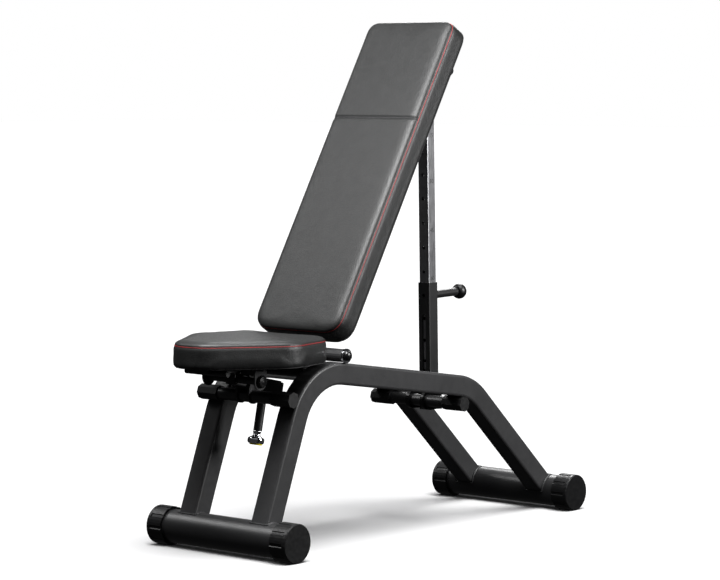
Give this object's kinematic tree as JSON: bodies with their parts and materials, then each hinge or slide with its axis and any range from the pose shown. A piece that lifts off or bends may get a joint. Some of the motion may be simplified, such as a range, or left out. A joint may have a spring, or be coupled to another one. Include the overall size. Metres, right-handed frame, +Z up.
{
  "type": "adjustable weight bench",
  "caption": "Adjustable weight bench: bent square-tube frame on round feet, reclining padded backrest on a telescopic pin-locked strut, and a tilting padded seat.",
  "frame": {"origin": "on the floor, midway along and across the bench's overall box", "axes": "+X rearward from the seat to the head end, +Y to the sitter's right, +Z up"},
  "size_m": [1.1966, 0.42, 1.1851],
  "materials": {
    "frame_coat": "satin charcoal powder coat",
    "bar_coat": "semi-gloss black coat",
    "foot_plastic": "satin moulded black",
    "trim_plastic": "polished black",
    "knob_plastic": "polished black",
    "sleeve_rubber": "moulded black",
    "chrome_plate": "bright chrome",
    "bare_steel": "zinc-plated steel",
    "knob_insert": "yellow moulded plastic",
    "upholstery": "dark grey fine-grained leatherette",
    "pad_board": "birch plywood"
  },
  "bodies": {
    "frame": {"front_foot_tube": "bar_coat", "rear_foot_tube": "bar_coat", "front_foot_cap_left": "foot_plastic", "front_foot_cap_right": "foot_plastic", "rear_foot_cap_left": "foot_plastic", "rear_foot_cap_right": "foot_plastic", "left_rail": "frame_coat", "right_rail": "frame_coat", "front_cross_bar": "bar_coat", "rear_cross_bar": "bar_coat", "front_bar_sleeve_left": "sleeve_rubber", "front_bar_sleeve_right": "sleeve_rubber", "rear_bar_sleeve_left": "sleeve_rubber", "rear_bar_sleeve_right": "sleeve_rubber", "hinge_axle": "bare_steel", "hinge_barrel_left": "frame_coat", "hinge_barrel_right": "frame_coat", "hinge_flange_left": "chrome_plate", "hinge_flange_right": "chrome_plate", "hinge_dome_nut_left": "trim_plastic", "hinge_dome_nut_right": "trim_plastic", "seat_pivot_rod": "bare_steel"},
    "backrest": {"backrest_pad": "upholstery", "backrest_board": "pad_board", "backrest_spine": "frame_coat", "backrest_hinge_bracket": "frame_coat", "head_bar": "bare_steel", "head_bar_plate_left": "frame_coat", "head_bar_plate_right": "frame_coat", "head_bar_grip_left": "sleeve_rubber", "head_bar_grip_right": "sleeve_rubber", "head_bar_cap_left": "trim_plastic", "head_bar_cap_right": "trim_plastic"},
    "strut_lower": {"strut_outer_tube": "bar_coat", "strut_clamp_left": "trim_plastic", "strut_clamp_right": "trim_plastic", "strut_pin_housing": "bar_coat"},
    "strut_upper": {"strut_inner_tube": "bare_steel"},
    "strut_pull_pin": {"strut_pin": "bare_steel", "strut_pin_spring": "bare_steel", "strut_pin_knob": "knob_plastic"},
    "seat": {"seat_pad": "upholstery", "seat_board": "pad_board", "seat_bracket": "frame_coat", "seat_front_rod": "frame_coat", "seat_bar": "frame_coat", "seat_bar_plate_left": "frame_coat", "seat_bar_plate_right": "frame_coat", "seat_bar_cap_left": "trim_plastic", "seat_bar_cap_right": "trim_plastic"},
    "seat_strut_lower": {"seat_strut_outer_tube": "frame_coat", "seat_pin_housing": "bar_coat"},
    "seat_strut_upper": {"seat_strut_inner_tube": "frame_coat"},
    "seat_pull_pin": {"seat_pin": "bare_steel", "seat_pin_spring": "bare_steel", "seat_pin_knob": "chrome_plate", "seat_pin_knob_insert": "knob_insert"}
  },
  "joints": [
    {"name": "backrest_recline", "type": "hinge", "parent": "frame", "child": "backrest", "pos_m": [-0.22035, 0, 0.43], "axis": [0, 1, 0], "range_deg": [0, 64.4]},
    {"name": "strut_swing", "type": "hinge", "parent": "frame", "child": "strut_lower", "pos_m": [0.20324, 0, 0.28547], "axis": [0, 1, 0], "range_deg": [0, 81.2]},
    {"name": "strut_extend", "type": "slide", "parent": "strut_lower", "child": "strut_upper", "axis": [-0.0276, 0, 0.9996], "range_m": [-0.4414, 0]},
    {"name": "strut_pin_pull", "type": "slide", "parent": "strut_lower", "child": "strut_pull_pin", "axis": [0.9996, 0, 0.0276], "range_m": [0, 0.012], "stiffness_N_per_m": 800, "springref_m": -0.012},
    {"name": "seat_tilt", "type": "hinge", "parent": "frame", "child": "seat", "pos_m": [-0.26735, 0, 0.392], "axis": [0, 1, 0], "range_deg": [0, 15]},
    {"name": "seat_strut_swing", "type": "hinge", "parent": "frame", "child": "seat_strut_lower", "pos_m": [-0.39848, 0, 0.345], "axis": [0, 1, 0], "range_deg": [0, 35]},
    {"name": "seat_strut_extend", "type": "slide", "parent": "seat_strut_lower", "child": "seat_strut_upper", "axis": [-0.9788, 0, 0.2047], "range_m": [0, 0.0387]},
    {"name": "seat_pin_pull", "type": "slide", "parent": "seat_strut_lower", "child": "seat_pull_pin", "axis": [-0.2047, 0, -0.9788], "range_m": [0, 0.012], "stiffness_N_per_m": 800, "springref_m": -0.012}
  ],
  "couplings": [
    {"joint": "strut_swing", "follows": "backrest_recline", "ratio": 1.2608},
    {"joint": "strut_extend", "follows": "backrest_recline", "m_per_rad": -0.39267},
    {"joint": "seat_strut_swing", "follows": "seat_tilt", "ratio": 2.3299},
    {"joint": "seat_strut_extend", "follows": "seat_tilt", "m_per_rad": 0.14742}
  ]
}
